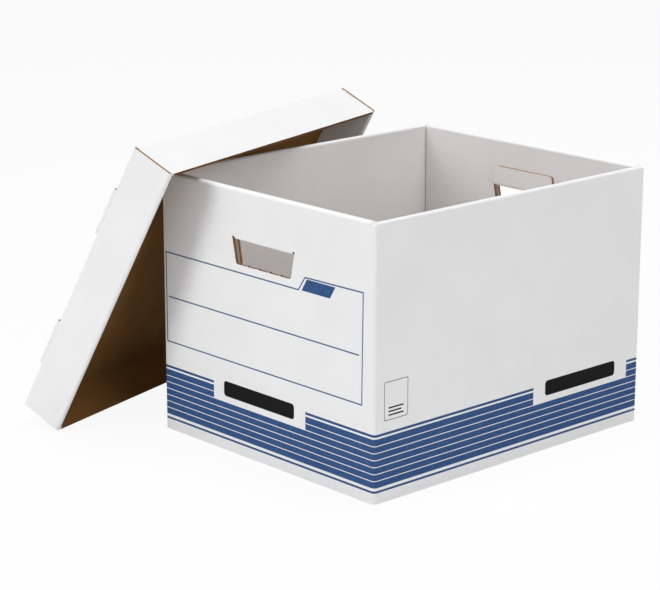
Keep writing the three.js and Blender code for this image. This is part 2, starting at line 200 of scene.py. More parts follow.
def coated_paper(name, axes_across):
    material = bpy.data.materials.new(name)
    material.use_nodes = True
    tree = material.node_tree
    shader = tree.nodes["Principled BSDF"]
    shader.inputs["Roughness"].default_value = 0.62
    shader.inputs["IOR"].default_value = 1.47
    shader.inputs["Specular IOR Level"].default_value = 0.12
    coordinates = add(tree, "ShaderNodeTexCoord")
    place = add(tree, "ShaderNodeVectorMath", {0: coordinates.outputs["Object"], "Scale": 1 / MM},
                operation="SCALE")

    mottle = add(tree, "ShaderNodeTexNoise",
                 {"Vector": place.outputs[0], "Scale": 1 / MOTTLE_MM, "Detail": 3.0})
    cloud = add(tree, "ShaderNodeTexNoise",
                {"Vector": place.outputs[0], "Scale": 1 / CLOUD_MM, "Detail": 2.0})
    tone = add(tree, "ShaderNodeMath", {0: mottle.outputs["Fac"], 1: cloud.outputs["Fac"]},
               operation="ADD")
    white = add(tree, "ShaderNodeMapRange", {"Value": tone.outputs[0], **TWO_NOISES})
    paper = add(tree, "ShaderNodeMix", data_type="RGBA")
    tree.links.new(white.outputs[0], paper.inputs[0])
    paper.inputs[6].default_value = paint(COAT_DARK)
    paper.inputs[7].default_value = paint(COAT_LIGHT)

    # Washboard: one shallow wave for each flute, along the axes that cross the flutes.
    parts = add(tree, "ShaderNodeSeparateXYZ", {0: place.outputs[0]})
    across = parts.outputs[axes_across[0]]
    for other in axes_across[1:]:
        both_axes = add(tree, "ShaderNodeMath", {0: across, 1: parts.outputs[other]}, operation="ADD")
        across = both_axes.outputs[0]
    phase = add(tree, "ShaderNodeMath", {0: across, 1: 2 * math.pi / FLUTE_PITCH_MM}, operation="MULTIPLY")
    wave = add(tree, "ShaderNodeMath", {0: phase.outputs[0]}, operation="SINE")
    washboard = add(tree, "ShaderNodeMath", {0: wave.outputs[0], 1: WASHBOARD_HEIGHT_MM},
                    operation="MULTIPLY")
    swell = add(tree, "ShaderNodeTexNoise",
                {"Vector": place.outputs[0], "Scale": 1 / SWELL_MM, "Detail": 0.0})
    slow = add(tree, "ShaderNodeMath", {0: swell.outputs["Fac"], 1: SWELL_HEIGHT_MM},
               operation="MULTIPLY")
    relief = add(tree, "ShaderNodeMath", {0: washboard.outputs[0], 1: slow.outputs[0]},
                 operation="ADD")
    fibre = add(tree, "ShaderNodeMath",
                {0: mottle.outputs["Fac"], 1: FIBRE_HEIGHT_MM, 2: relief.outputs[0]},
                operation="MULTIPLY_ADD")
    bump = add(tree, "ShaderNodeBump", {"Height": fibre.outputs[0], "Distance": MM, "Strength": 1.0})
    tree.links.new(bump.outputs["Normal"], shader.inputs["Normal"])
    tree.links.new(paper.outputs[2], shader.inputs["Base Color"])
    return material, tree, shader, place, parts, paper


plain_paper = coated_paper("white clay-coated liner, plain", ["Y"])[0]
print("made", plain_paper.name)

# %% [markdown]
# The box itself carries the print, by flexography: soft rubber plates and thin water-based ink.
# The ink keeps a faint mottle and lies flat. A blue band with fine white lines runs round the foot,
# with a plain plaque standing in a white notch on every wall. The handle walls have a ruled panel
# for a label with a small blue tab, and the long walls a small outlined field. All of it is drawn
# here as bare shapes. Sizes are millimetres on the wall, with u from left to right seen from
# outside and z up. The first step finds which wall a point is on, and its place there. Opposite
# walls are printed alike, so their places are turned onto one.

# %% Printed liner: where the point is on the wall
BODY_HALF_X = 168.5
BODY_HALF_Y = 203.5
ON_WALL_MM = 0.3    # how deep under a wall's face its print still counts

printed_paper, tree, shader, place, parts, paper = coated_paper(
    "white clay-coated liner, printed", ["X", "Y"])
size_x = add(tree, "ShaderNodeMath", {0: parts.outputs["X"]}, operation="ABSOLUTE")
size_y = add(tree, "ShaderNodeMath", {0: parts.outputs["Y"]}, operation="ABSOLUTE")
on_handle_wall = add(tree, "ShaderNodeMath", {0: size_y.outputs[0], 1: BODY_HALF_Y - ON_WALL_MM},
                     operation="GREATER_THAN")
on_long_wall = add(tree, "ShaderNodeMath", {0: size_x.outputs[0], 1: BODY_HALF_X - ON_WALL_MM},
                   operation="GREATER_THAN")
towards_rear = add(tree, "ShaderNodeMath", {0: parts.outputs["Y"]}, operation="SIGN")
towards_right = add(tree, "ShaderNodeMath", {0: parts.outputs["X"]}, operation="SIGN")
mirrored_x = add(tree, "ShaderNodeMath", {0: parts.outputs["X"], 1: towards_rear.outputs[0]},
                 operation="MULTIPLY")
handle_u = add(tree, "ShaderNodeMath", {0: mirrored_x.outputs[0], 1: -1.0}, operation="MULTIPLY")
long_u = add(tree, "ShaderNodeMath", {0: parts.outputs["Y"], 1: towards_right.outputs[0]},
             operation="MULTIPLY")
height = parts.outputs["Z"]
on_handle = add(tree, "ShaderNodeCombineXYZ", {"X": handle_u.outputs[0], "Y": height}).outputs[0]
on_long = add(tree, "ShaderNodeCombineXYZ", {"X": long_u.outputs[0], "Y": height}).outputs[0]
print("started", printed_paper.name, "for walls of", 2 * BODY_HALF_X, "and", 2 * BODY_HALF_Y, "mm")

# %% [markdown]
# A printing plate is cut from simple shapes, and so is this print. One helper rules a line and one
# lays a field. Others join shapes, keep what two share, cut one out of another, and turn a
# distance into ink with a soft edge a quarter of a millimetre wide, as ink has on paper.

# %% Printed liner: shapes and ink
INK_EDGE_MM = 0.12


def ruled(place_on_wall, start, end, width):
    node = add(tree, "ShaderNodeGroup", node_tree=line_group)
    tree.links.new(place_on_wall, node.inputs["Place"])
    node.inputs["Start"].default_value = (*start, 0.0)
    node.inputs["End"].default_value = (*end, 0.0)
    node.inputs["Width"].default_value = width
    return node.outputs["Distance"]


def field(place_on_wall, left, right, low, high, radius):
    node = add(tree, "ShaderNodeGroup", node_tree=field_group)
    tree.links.new(place_on_wall, node.inputs["Place"])
    node.inputs["Centre"].default_value = ((left + right) / 2, (low + high) / 2, 0.0)
    node.inputs["Half size"].default_value = ((right - left) / 2, (high - low) / 2, 0.0)
    node.inputs["Radius"].default_value = radius
    return node.outputs["Distance"]


def nearest_of(distances):
    whole = distances[0]
    for other in distances[1:]:
        whole = add(tree, "ShaderNodeMath", {0: whole, 1: other}, operation="MINIMUM").outputs[0]
    return whole


def further_of(first, second):
    return add(tree, "ShaderNodeMath", {0: first, 1: second}, operation="MAXIMUM").outputs[0]


def cut_out(shape, hole):
    outside_hole = add(tree, "ShaderNodeMath", {0: hole, 1: -1.0}, operation="MULTIPLY")
    return further_of(shape, outside_hole.outputs[0])


def ink(distance, where):
    edge = add(tree, "ShaderNodeMapRange",
               {"Value": distance, "From Min": -INK_EDGE_MM, "From Max": INK_EDGE_MM,
                "To Min": 1.0, "To Max": 0.0})
    return add(tree, "ShaderNodeMath", {0: edge.outputs[0], 1: where}, operation="MULTIPLY").outputs[0]


print("a printed edge is", 2 * INK_EDGE_MM, "mm wide")

# %% [markdown]
# The band round the foot is one wide blue stripe with fine white lines left open in it, and a
# thin blue rule below and above it. The lines repeat at one pitch, so one sum makes them all: the
# height is wrapped into a single pitch and measured from its middle.

# %% Printed liner: the band round the foot
BAND_LOW, BAND_HIGH = 17.3, 69.2
LINE_PITCH, FIRST_LINE, LINE_WIDTH = 7.4, 24.7, 0.85
NO_LINE_NEAR_EDGE = 4.0
LOWER_RULE, UPPER_RULE = (11.8, 14.2), (71.2, 74.0)
WALL_REACH = 400.0    # longer than any wall

stripes_u = add(tree, "ShaderNodeCombineXYZ", {"Y": height}).outputs[0]
band = field(stripes_u, -WALL_REACH, WALL_REACH, BAND_LOW, BAND_HIGH, 0.0)
from_line = add(tree, "ShaderNodeMath", {0: height, 1: FIRST_LINE - LINE_PITCH / 2},
                operation="SUBTRACT")
in_pitch = add(tree, "ShaderNodeMath", {0: from_line.outputs[0], 1: LINE_PITCH},
               operation="FLOORED_MODULO")
from_middle = add(tree, "ShaderNodeMath", {0: in_pitch.outputs[0], 1: LINE_PITCH / 2},
                  operation="SUBTRACT")
off_line = add(tree, "ShaderNodeMath", {0: from_middle.outputs[0]}, operation="ABSOLUTE")
fine_lines = add(tree, "ShaderNodeMath", {0: off_line.outputs[0], 1: LINE_WIDTH / 2},
                 operation="SUBTRACT")
line_zone = field(stripes_u, -WALL_REACH, WALL_REACH,
                  BAND_LOW + NO_LINE_NEAR_EDGE, BAND_HIGH - NO_LINE_NEAR_EDGE, 0.0)
white_lines = further_of(fine_lines.outputs[0], line_zone)
band = cut_out(band, white_lines)
rules = nearest_of([
    field(stripes_u, -WALL_REACH, WALL_REACH, *LOWER_RULE, 0.0),
    field(stripes_u, -WALL_REACH, WALL_REACH, *UPPER_RULE, 0.0),
])
foot_print = nearest_of([band, rules])
print("the band has lines every", LINE_PITCH, "mm from", FIRST_LINE, "to", BAND_HIGH - NO_LINE_NEAR_EDGE)

# %% [markdown]
# The band leaves a white notch for the plaque on every wall. It is printed on the outside of the
# walls only, so a second test keeps the ink off the inside and out of the cut edges. That test is
# a rounded field seen from above, as large as the tube that the walls form.

# %% Printed liner: notches in the band
HANDLE_NOTCH, LONG_NOTCH = (-83.0, 65.0), (31.0, 183.0)
NOTCH_LOW, NOTCH_TOP, NOTCH_CORNER = 54.4, 78.0, 1.0
BODY_CORNER = 4.5
PRINT_DEPTH_MM = 0.5

handle_notch = ink(field(on_handle, *HANDLE_NOTCH, NOTCH_LOW, NOTCH_TOP, NOTCH_CORNER),
                   on_handle_wall.outputs[0])
long_notch = ink(field(on_long, *LONG_NOTCH, NOTCH_LOW, NOTCH_TOP, NOTCH_CORNER),
                 on_long_wall.outputs[0])
notches = further_of(handle_notch, long_notch)
tube_place = add(tree, "ShaderNodeCombineXYZ", {"X": parts.outputs["X"], "Y": parts.outputs["Y"]})
tube = add(tree, "ShaderNodeGroup", node_tree=field_group)
tree.links.new(tube_place.outputs[0], tube.inputs["Place"])
tube.inputs["Half size"].default_value = (BODY_HALF_X, BODY_HALF_Y, 0.0)
tube.inputs["Radius"].default_value = BODY_CORNER
on_outside = add(tree, "ShaderNodeMath", {0: tube.outputs["Distance"], 1: -PRINT_DEPTH_MM},
                 operation="GREATER_THAN")
unnotched = add(tree, "ShaderNodeMath", {0: 1.0, 1: notches}, operation="SUBTRACT")
band_room = add(tree, "ShaderNodeMath", {0: on_outside.outputs[0], 1: unnotched.outputs[0]},
                operation="MULTIPLY")
band_ink = ink(foot_print, band_room.outputs[0])
print("each notch is", NOTCH_TOP - NOTCH_LOW, "mm high")

# %% [markdown]
# The label panel on the handle walls is an outline of ruled lines with one line across it. Its
# upper edge steps up at the right to carry the tab, a small leaning field. The tab is drawn
# upright after its place has been slid sideways with the height, which makes it lean.

# %% Printed liner: label panel and tab
RULE_WIDTH = 1.5
LABEL = [(-162.0, 101.7), (-162.0, 202.8), (54.9, 202.8), (65.2, 217.6), (151.6, 218.8), (149.9, 101.8)]
LINE_LEFT, LINE_RIGHT = (-158.0, 153.0), (145.0, 153.0)
TAB_LEFT, TAB_RIGHT, TAB_CORNER = 64.0, 106.8, 0.3
TAB_MIDDLE_Z, TAB_HALF_HEIGHT, TAB_LEAN = 209.6, 6.6, 0.62

label_lines = [ruled(on_handle, a, b, RULE_WIDTH) for a, b in zip(LABEL, LABEL[1:] + LABEL[:1])]
label_lines.append(ruled(on_handle, LINE_LEFT, LINE_RIGHT, RULE_WIDTH))

lean = add(tree, "ShaderNodeMath", {0: height, 1: TAB_MIDDLE_Z}, operation="SUBTRACT")
lean_offset = add(tree, "ShaderNodeMath", {0: lean.outputs[0], 1: -TAB_LEAN}, operation="MULTIPLY")
tab_u = add(tree, "ShaderNodeMath", {0: handle_u.outputs[0], 1: lean_offset.outputs[0]}, operation="ADD")
tab_place = add(tree, "ShaderNodeCombineXYZ", {"X": tab_u.outputs[0], "Y": height}).outputs[0]
tab = field(tab_place, TAB_LEFT, TAB_RIGHT,
            TAB_MIDDLE_Z - TAB_HALF_HEIGHT, TAB_MIDDLE_Z + TAB_HALF_HEIGHT, TAB_CORNER)
label_ink = ink(nearest_of(label_lines + [tab]), on_handle_wall.outputs[0])
print("the label panel has", len(label_lines), "ruled lines")

# %% [markdown]
# The rest is in black: a plain plaque on each wall, and on the long walls a small outlined field
# with three plain bars. An outline is the same field's distance taken both ways, less half the
# width of the line.

# %% Printed liner: plaques and the small field
HANDLE_PLAQUE, LONG_PLAQUE = (-66.0, 47.5), (49.5, 163.0)
PLAQUE_LOW, PLAQUE_TOP, PLAQUE_CORNER = 61.0, 78.0, 4.0
SMALL_FIELD, SMALL_FIELD_CORNER, OUTLINE_WIDTH = (-189.7, -157.1, 86.3, 126.3), 1.5, 0.7
BAR_LEFT, BAR_HEIGHT, BAR_CORNER = -184.0, 1.6, 0.3
BAR_RIGHTS_AND_FEET = ((-163.0, 98.0), (-166.0, 94.2), (-163.0, 90.4))

handle_plaque = ink(field(on_handle, *HANDLE_PLAQUE, PLAQUE_LOW, PLAQUE_TOP, PLAQUE_CORNER),
                    on_handle_wall.outputs[0])
long_plaque = ink(field(on_long, *LONG_PLAQUE, PLAQUE_LOW, PLAQUE_TOP, PLAQUE_CORNER),
                  on_long_wall.outputs[0])
frame_field = field(on_long, *SMALL_FIELD, SMALL_FIELD_CORNER)
frame_size = add(tree, "ShaderNodeMath", {0: frame_field}, operation="ABSOLUTE")
frame_line = add(tree, "ShaderNodeMath", {0: frame_size.outputs[0], 1: OUTLINE_WIDTH / 2},
                 operation="SUBTRACT")
bars = [field(on_long, BAR_LEFT, right, foot, foot + BAR_HEIGHT, BAR_CORNER)
        for right, foot in BAR_RIGHTS_AND_FEET]
small_field = ink(nearest_of([frame_line.outputs[0]] + bars), on_long_wall.outputs[0])
black_ink = further_of(further_of(handle_plaque, long_plaque), small_field)
print("the small field has", len(bars), "bars")

# %% [markdown]
# Thin ink lets a little of the paper through where the fibres stand low, so the blue covers the
# paper by a share that a fine noise moves between almost all and all of it. Black is laid last,
# over both.

# %% Printed liner: lay the inks on the paper
BLUE_INK, BLACK_INK = "#2C5184", "#060607"
INK_MOTTLE_MM, THINNEST_COVER = 2.5, 0.975

ink_mottle = add(tree, "ShaderNodeTexNoise",
                 {"Vector": place.outputs[0], "Scale": 1 / INK_MOTTLE_MM, "Detail": 4.0})
cover = add(tree, "ShaderNodeMapRange",
            {"Value": ink_mottle.outputs["Fac"], **ONE_NOISE, "To Min": THINNEST_COVER})
blue_ink = further_of(band_ink, label_ink)
blue_cover = add(tree, "ShaderNodeMath", {0: blue_ink, 1: cover.outputs[0]}, operation="MULTIPLY")
with_blue = add(tree, "ShaderNodeMix", data_type="RGBA")
tree.links.new(blue_cover.outputs[0], with_blue.inputs[0])
tree.links.new(paper.outputs[2], with_blue.inputs[6])
with_blue.inputs[7].default_value = paint(BLUE_INK)
with_black = add(tree, "ShaderNodeMix", data_type="RGBA")
tree.links.new(black_ink, with_black.inputs[0])
tree.links.new(with_blue.outputs[2], with_black.inputs[6])
with_black.inputs[7].default_value = paint(BLACK_INK)
tree.links.new(with_black.outputs[2], shader.inputs["Base Color"])
print("printed liner has", len(tree.nodes), "nodes")

# %% [markdown]
# Kraft liner is the brown paper inside: unbleached softwood pulp with long fibres, drawn out along
# the paper machine. It is matt, warm brown and streaked by fibres a few millimetres long. The cut
# edge of the board is the same pulp seen end on, so it is a little lighter and has no streaks.

# %% Kraft liner and cut board
FIBRE_LONG_M, FIBRE_WIDE_M = 0.006, 0.0008
BROWN_CLOUD_M = 0.05
FIBRE_RELIEF_MM = 0.05


def brown_paper(name, light, dark, stretch):
    material = bpy.data.materials.new(name)
    material.use_nodes = True
    tree = material.node_tree
    shader = tree.nodes["Principled BSDF"]
    shader.inputs["Roughness"].default_value = 0.8
    shader.inputs["IOR"].default_value = 1.45
    shader.inputs["Specular IOR Level"].default_value = 0.08
    coordinates = add(tree, "ShaderNodeTexCoord")
    drawn = add(tree, "ShaderNodeMapping", {"Vector": coordinates.outputs["Object"], "Scale": stretch})
    fibres = add(tree, "ShaderNodeTexNoise",
                 {"Vector": drawn.outputs[0], "Scale": 1.0, "Detail": 5.0, "Roughness": 0.6})
    cloud = add(tree, "ShaderNodeTexNoise",
                {"Vector": coordinates.outputs["Object"], "Scale": 1 / BROWN_CLOUD_M, "Detail": 2.0})
    tone = add(tree, "ShaderNodeMath", {0: fibres.outputs["Fac"], 1: cloud.outputs["Fac"]},
               operation="ADD")
    factor = add(tree, "ShaderNodeMapRange", {"Value": tone.outputs[0], **TWO_NOISES})
    colour = add(tree, "ShaderNodeMix", data_type="RGBA")
    tree.links.new(factor.outputs[0], colour.inputs[0])
    colour.inputs[6].default_value = paint(dark)
    colour.inputs[7].default_value = paint(light)
    tree.links.new(colour.outputs[2], shader.inputs["Base Color"])
    bump = add(tree, "ShaderNodeBump",
               {"Height": fibres.outputs["Fac"], "Distance": FIBRE_RELIEF_MM * MM})
    tree.links.new(bump.outputs["Normal"], shader.inputs["Normal"])
    return material


# A pattern's scale is one over its size.
along_fibre, across_fibre = 1 / FIBRE_LONG_M, 1 / FIBRE_WIDE_M
kraft_paper = brown_paper("kraft liner", "#98703F", "#8A6237",
                          (across_fibre, along_fibre, across_fibre))
cut_board = brown_paper("cut edge of corrugated board", "#AE8254", "#8A623B",
                        (across_fibre, across_fibre, across_fibre))
print("made", kraft_paper.name, "and", cut_board.name)

# %% [markdown]
# Where the knife cut across the flutes, corrugated board shows its build: a thin liner on each
# side and the wavy paper between them, with air in the waves. A real groove between the liners
# holds the wave, so that the edge catches light and shade as a cut edge does. Each cut edge is
# given by its two ends, the way across the board and the way into it.

# %% Grooves for the flutes
LINER_MM, GROOVE_MM = 0.35, 1.3
GROOVE_DRAFT_MM = 0.02
EDGE_REACH_MM = 0.4    # how near to its line a face's middle is, to count as that cut edge
FACING = 0.99          # a face looks a given way when its normal has this share of it


def open_cut_edges(bm, cut_edges):
    opened = []
    for start, end, across, inward in cut_edges:
        run = end - start
        for face in bm.faces:
            if face.normal.dot(-inward) < FACING:
                continue
            reach = face.calc_center_median() - start
            share = reach.dot(run) / run.length_squared
            if 0 < share < 1 and (reach - share * run).length < EDGE_REACH_MM * MM:
                opened.append(face)
    bmesh.ops.inset_individual(bm, faces=opened, thickness=LINER_MM * MM, use_even_offset=True)
    bmesh.ops.inset_individual(bm, faces=opened, thickness=GROOVE_DRAFT_MM * MM, depth=-GROOVE_MM * MM,
                               use_even_offset=True)
    print("grooves opened in", len(opened), "cut faces")


# %% [markdown]
# The waves follow a rule, so Geometry Nodes make them. A line along each cut edge is resampled,
# pushed from side to side as a sine, and drawn into the board as a ribbon of paper. The pitch,
# the height of the wave, the paper and the depth are the tree's inputs. The first half of the
# tree draws the wave.

# %% Tree for the flutes: the wave
STEPS_PER_FLUTE = 12.0

flute_tree = bpy.data.node_groups.new("flutes in a cut edge", "GeometryNodeTree")
flute_tree.is_modifier = True
flute_tree.interface.new_socket("Geometry", in_out="INPUT", socket_type="NodeSocketGeometry")
for label in ("Flute pitch", "Wave height", "Paper thickness", "Depth"):
    flute_tree.interface.new_socket(label, in_out="INPUT", socket_type="NodeSocketFloat")
flute_tree.interface.new_socket("Paper", in_out="INPUT", socket_type="NodeSocketMaterial")
flute_tree.interface.new_socket("Geometry", in_out="OUTPUT", socket_type="NodeSocketGeometry")
given = flute_tree.nodes.new("NodeGroupInput").outputs
line = add(flute_tree, "GeometryNodeMeshToCurve", {"Mesh": given["Geometry"]})
step = add(flute_tree, "ShaderNodeMath", {0: given["Flute pitch"], 1: STEPS_PER_FLUTE}, operation="DIVIDE")
points = add(flute_tree, "GeometryNodeResampleCurve",
             {"Curve": line.outputs["Curve"], "Length": step.outputs[0]}, mode="LENGTH")
along = add(flute_tree, "GeometryNodeSplineParameter")
turns = add(flute_tree, "ShaderNodeMath", {0: along.outputs["Length"], 1: given["Flute pitch"]},
            operation="DIVIDE")
angle = add(flute_tree, "ShaderNodeMath", {0: turns.outputs[0], 1: 2 * math.pi}, operation="MULTIPLY")
wave = add(flute_tree, "ShaderNodeMath", {0: angle.outputs[0]}, operation="SINE")
half_height = add(flute_tree, "ShaderNodeMath", {0: given["Wave height"], 1: 0.5}, operation="MULTIPLY")
sway = add(flute_tree, "ShaderNodeMath", {0: wave.outputs[0], 1: half_height.outputs[0]},
           operation="MULTIPLY")
across = add(flute_tree, "GeometryNodeInputNamedAttribute", {"Name": "across"}, data_type="FLOAT_VECTOR")
push = add(flute_tree, "ShaderNodeVectorMath",
           {0: across.outputs["Attribute"], "Scale": sway.outputs[0]}, operation="SCALE")
waved = add(flute_tree, "GeometryNodeSetPosition",
            {"Geometry": points.outputs["Curve"], "Offset": push.outputs["Vector"]})
print("a flute is drawn in", int(STEPS_PER_FLUTE), "steps")

# %% [markdown]
# The second half draws the wave into the board. The line becomes a ribbon, the ribbon gets the
# thickness of paper, and its first side is turned round and joined on, so that the paper is a
# closed shape like any solid thing. It ends in real geometry with its material.

# %% Tree for the flutes: the paper
SAME_POINT_MM = 0.001

paper_edge = add(flute_tree, "GeometryNodeCurveToMesh", {"Curve": waved.outputs["Geometry"]})
inward = add(flute_tree, "GeometryNodeInputNamedAttribute", {"Name": "inward"}, data_type="FLOAT_VECTOR")
into_board = add(flute_tree, "ShaderNodeVectorMath",
                 {0: inward.outputs["Attribute"], "Scale": given["Depth"]}, operation="SCALE")
ribbon = add(flute_tree, "GeometryNodeExtrudeMesh",
             {"Mesh": paper_edge.outputs["Mesh"], "Offset": into_board.outputs["Vector"],
              "Offset Scale": 1.0},
             mode="EDGES")
thick = add(flute_tree, "GeometryNodeExtrudeMesh",
            {"Mesh": ribbon.outputs["Mesh"], "Offset Scale": given["Paper thickness"],
             "Individual": False},
            mode="FACES")
back = add(flute_tree, "GeometryNodeFlipFaces", {"Mesh": ribbon.outputs["Mesh"]})
both = add(flute_tree, "GeometryNodeJoinGeometry")
flute_tree.links.new(thick.outputs["Mesh"], both.inputs["Geometry"])
flute_tree.links.new(back.outputs["Mesh"], both.inputs["Geometry"])
closed = add(flute_tree, "GeometryNodeMergeByDistance",
             {"Geometry": both.outputs["Geometry"], "Distance": SAME_POINT_MM * MM})
real = add(flute_tree, "GeometryNodeRealizeInstances", {"Geometry": closed.outputs["Geometry"]})
papered = add(flute_tree, "GeometryNodeSetMaterial",
              {"Geometry": real.outputs["Geometry"], "Material": given["Paper"]})
result = flute_tree.nodes.new("NodeGroupOutput").inputs
flute_tree.links.new(papered.outputs["Geometry"], result["Geometry"])
print("the tree", flute_tree.name, "has", len(flute_tree.nodes), "nodes")

# %% [markdown]
# A piece of flutes starts as a mesh with one line for each cut edge, which carries the ways across
# and into the board as attributes. The tree turns the lines into paper, and the result is kept as
# a plain mesh. The waves stay a hair inside the liners and under the cut face, so that nothing
# stands proud of the board.

# %% Flutes as a piece
PAPER_MM = 0.25
BOARD_MM = 3.2
WAVE_PLAY_MM = 0.15
WAVE_SET_BACK_MM = 0.06
FLUTE_INPUTS = {
    "Flute pitch": FLUTE_PITCH_MM * MM,
    "Wave height": (BOARD_MM - 2 * LINER_MM - PAPER_MM - WAVE_PLAY_MM) * MM,
    "Paper thickness": PAPER_MM * MM,
    "Depth": (GROOVE_MM - 2 * WAVE_SET_BACK_MM) * MM,
    "Paper": cut_board,
}


def edge_lines(name, cut_edges):
    mesh = bpy.data.meshes.new(name)
    ends = []
    for start, end, across, inward in cut_edges:
        ends += [start + WAVE_SET_BACK_MM * MM * inward, end + WAVE_SET_BACK_MM * MM * inward]
    mesh.from_pydata(ends, [(i, i + 1) for i in range(0, len(ends), 2)], [])
    ways = {"across": [e[2] for e in cut_edges], "inward": [e[3] for e in cut_edges]}
    for label, values in ways.items():
        way = mesh.attributes.new(label, "FLOAT_VECTOR", "POINT")
        for i in range(len(ends)):
            way.data[i].vector = values[i // 2]
    return mesh


def flutes(piece_name, cut_edges):
    maker = bpy.data.objects.new(piece_name + "_maker", edge_lines(piece_name + "_lines", cut_edges))
    bpy.context.scene.collection.objects.link(maker)
    modifier = maker.modifiers.new("flutes", "NODES")
    modifier.node_group = flute_tree
    for item in flute_tree.interface.items_tree:
        if item.in_out == "INPUT" and item.name in FLUTE_INPUTS:
            modifier[item.identifier] = FLUTE_INPUTS[item.name]
    evaluated = maker.evaluated_get(bpy.context.evaluated_depsgraph_get())
    made = bpy.data.meshes.new_from_object(evaluated)
    made.name = piece_name
    bpy.data.objects.remove(maker)
    piece = bpy.data.objects.new(piece_name, made)
    bpy.context.scene.collection.objects.link(piece)
    print(piece_name, "has", len(made.polygons), "faces in", len(cut_edges), "cut edges")
    return piece


# %% [markdown]
# The folded sheets come from the solid model, where every fold, slit and flap has its place. A
# copy of each mesh has its loose triangles merged and its flat faces made whole, and each face
# gets the paper that is on that side of the sheet. The folds and rolls are shaded round, and the
# knife's edges stay crisp: an edge of cut board has no round that the eye could see.

# %% Copy of a folded sheet
CRISP_FROM = math.radians(32)
FLAT_WITHIN = math.radians(0.5)
MERGE_MM = 0.03
LARGEST_FACE_ONLY = 100
WHITE, KRAFT, CUT = 0, 1, 2    # the papers' places in a piece's material slots


def part_faces(bm, part_lines):
    # A flat face is parted along a line where one paper ends and the next begins.
    for point, across, outward in part_lines:
        flat = [face for face in bm.faces if face.normal.dot(outward) > FACING]
        chosen = set(flat)
        edges = [edge for edge in bm.edges if chosen.intersection(edge.link_faces)]
        corners = [corner for corner in bm.verts if chosen.intersection(corner.link_faces)]
        bmesh.ops.bisect_plane(bm, geom=flat + edges + corners, plane_co=point, plane_no=across)


def folded_sheet(node_name, piece_name, materials, side_of, cut_edges, part_lines=()):
    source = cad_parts[node_name]
    mesh = source.data.copy()
    mesh.name = piece_name
    mesh.transform(source.matrix_world)
    mesh.materials.clear()
    for material in materials:
        mesh.materials.append(material)
    bm = bmesh.new()
    bm.from_mesh(mesh)
    bmesh.ops.remove_doubles(bm, verts=bm.verts, dist=MERGE_MM * MM)
    bmesh.ops.dissolve_limit(bm, angle_limit=FLAT_WITHIN, verts=bm.verts, edges=bm.edges)
    bmesh.ops.recalc_face_normals(bm, faces=bm.faces)
    part_faces(bm, part_lines)
    for face in bm.faces:
        face.smooth = True
        face.material_index = side_of(face.calc_center_median() / MM, face.normal)
    open_cut_edges(bm, cut_edges)
    for edge in bm.edges:
        edge.smooth = edge.calc_face_angle(0.0) < CRISP_FROM
    bm.to_mesh(mesh)
    bm.free()
    mesh.update()
    piece = bpy.data.objects.new(piece_name, mesh)
    bpy.context.scene.collection.objects.link(piece)
    # Normals follow the largest face at each corner, so a flat wall is shaded flat up to its folds.
    shading = piece.modifiers.new("flat walls", "WEIGHTED_NORMAL")
    shading.mode = "FACE_AREA"
    shading.weight = LARGEST_FACE_ONLY
    shading.keep_sharp = True
    print(piece_name, "has", len(mesh.polygons), "faces")
    return piece


# %% [markdown]
# On the box, white is outside, over the rolled rims and down the inner faces, because the walls
# are rolled over with the white side out. The inner base flaps show kraft. Slits, seams and the
# edges of the hand holes show the cut board. A face is told by its place, with a little slack,
# and by the way it looks. The box is alike on both sides, so the places are taken without sign.

# %% Box body: which paper is on a face
INSIDE_X, INSIDE_Y = 162.1, 193.9
HOLE_LOW_Z, HOLE_TOP_Z, HOLE_HALF = 211.5, 241.0, 49.6
FLAP_FACE_Y, FLAP_LOW_Z = 190.7, 237.5
BASE_TOP_Z = 2 * BOARD_MM
CUT_GAP_MM = 1.2
SLACK = 0.1
STRAIGHT, EDGEWISE = 0.9, 0.1    # shares of a face's normal: it looks that way, or across it


def side_of_body(centre, normal):
    x, y, z = abs(centre.x), abs(centre.y), centre.z
    in_wall = INSIDE_Y - SLACK < y < BODY_HALF_Y - SLACK
    in_hole = x < HOLE_HALF and HOLE_LOW_Z - SLACK < z < HOLE_TOP_Z + SLACK
    not_flap = normal.z > -EDGEWISE or abs(z - HOLE_TOP_Z) < SLACK
    if in_wall and in_hole and not_flap and abs(normal.y) < EDGEWISE:
        return CUT
    if FLAP_FACE_Y < y < INSIDE_Y and z > HOLE_TOP_Z and abs(normal.y) < EDGEWISE:
        return CUT
    end_of_flap = FLAP_FACE_Y < y < BODY_HALF_Y and FLAP_LOW_Z < z < HOLE_TOP_Z + SLACK
    if end_of_flap and abs(normal.x) > STRAIGHT:
        return CUT
    beside_slit = INSIDE_X - CUT_GAP_MM - SLACK < x < INSIDE_X + SLACK
    if beside_slit and INSIDE_Y < y < INSIDE_Y + BOARD_MM + SLACK:
        return CUT
    if z < BASE_TOP_Z + SLACK and x < INSIDE_X + SLACK and y < INSIDE_Y + SLACK:
        if z > BASE_TOP_Z - SLACK or (z > BOARD_MM - SLACK and normal.z > STRAIGHT):
            return KRAFT
        if z > SLACK:
            return CUT
    return WHITE


print("the base is", BASE_TOP_Z, "mm thick")

# %% [markdown]
# Waves show in two pairs of cut edges: the lower edge of each hand hole, and the inner flaps'
# edges that face each other across the base. Both pairs are the same at the front and the rear.

# %% Box body: cut edges and pieces
HOLE_EDGE_HALF, HOLE_EDGE_Y = 40.0, 201.9
BASE_EDGE_HALF, BASE_EDGE_Y, BASE_EDGE_Z = 161.0, 37.5, 4.8

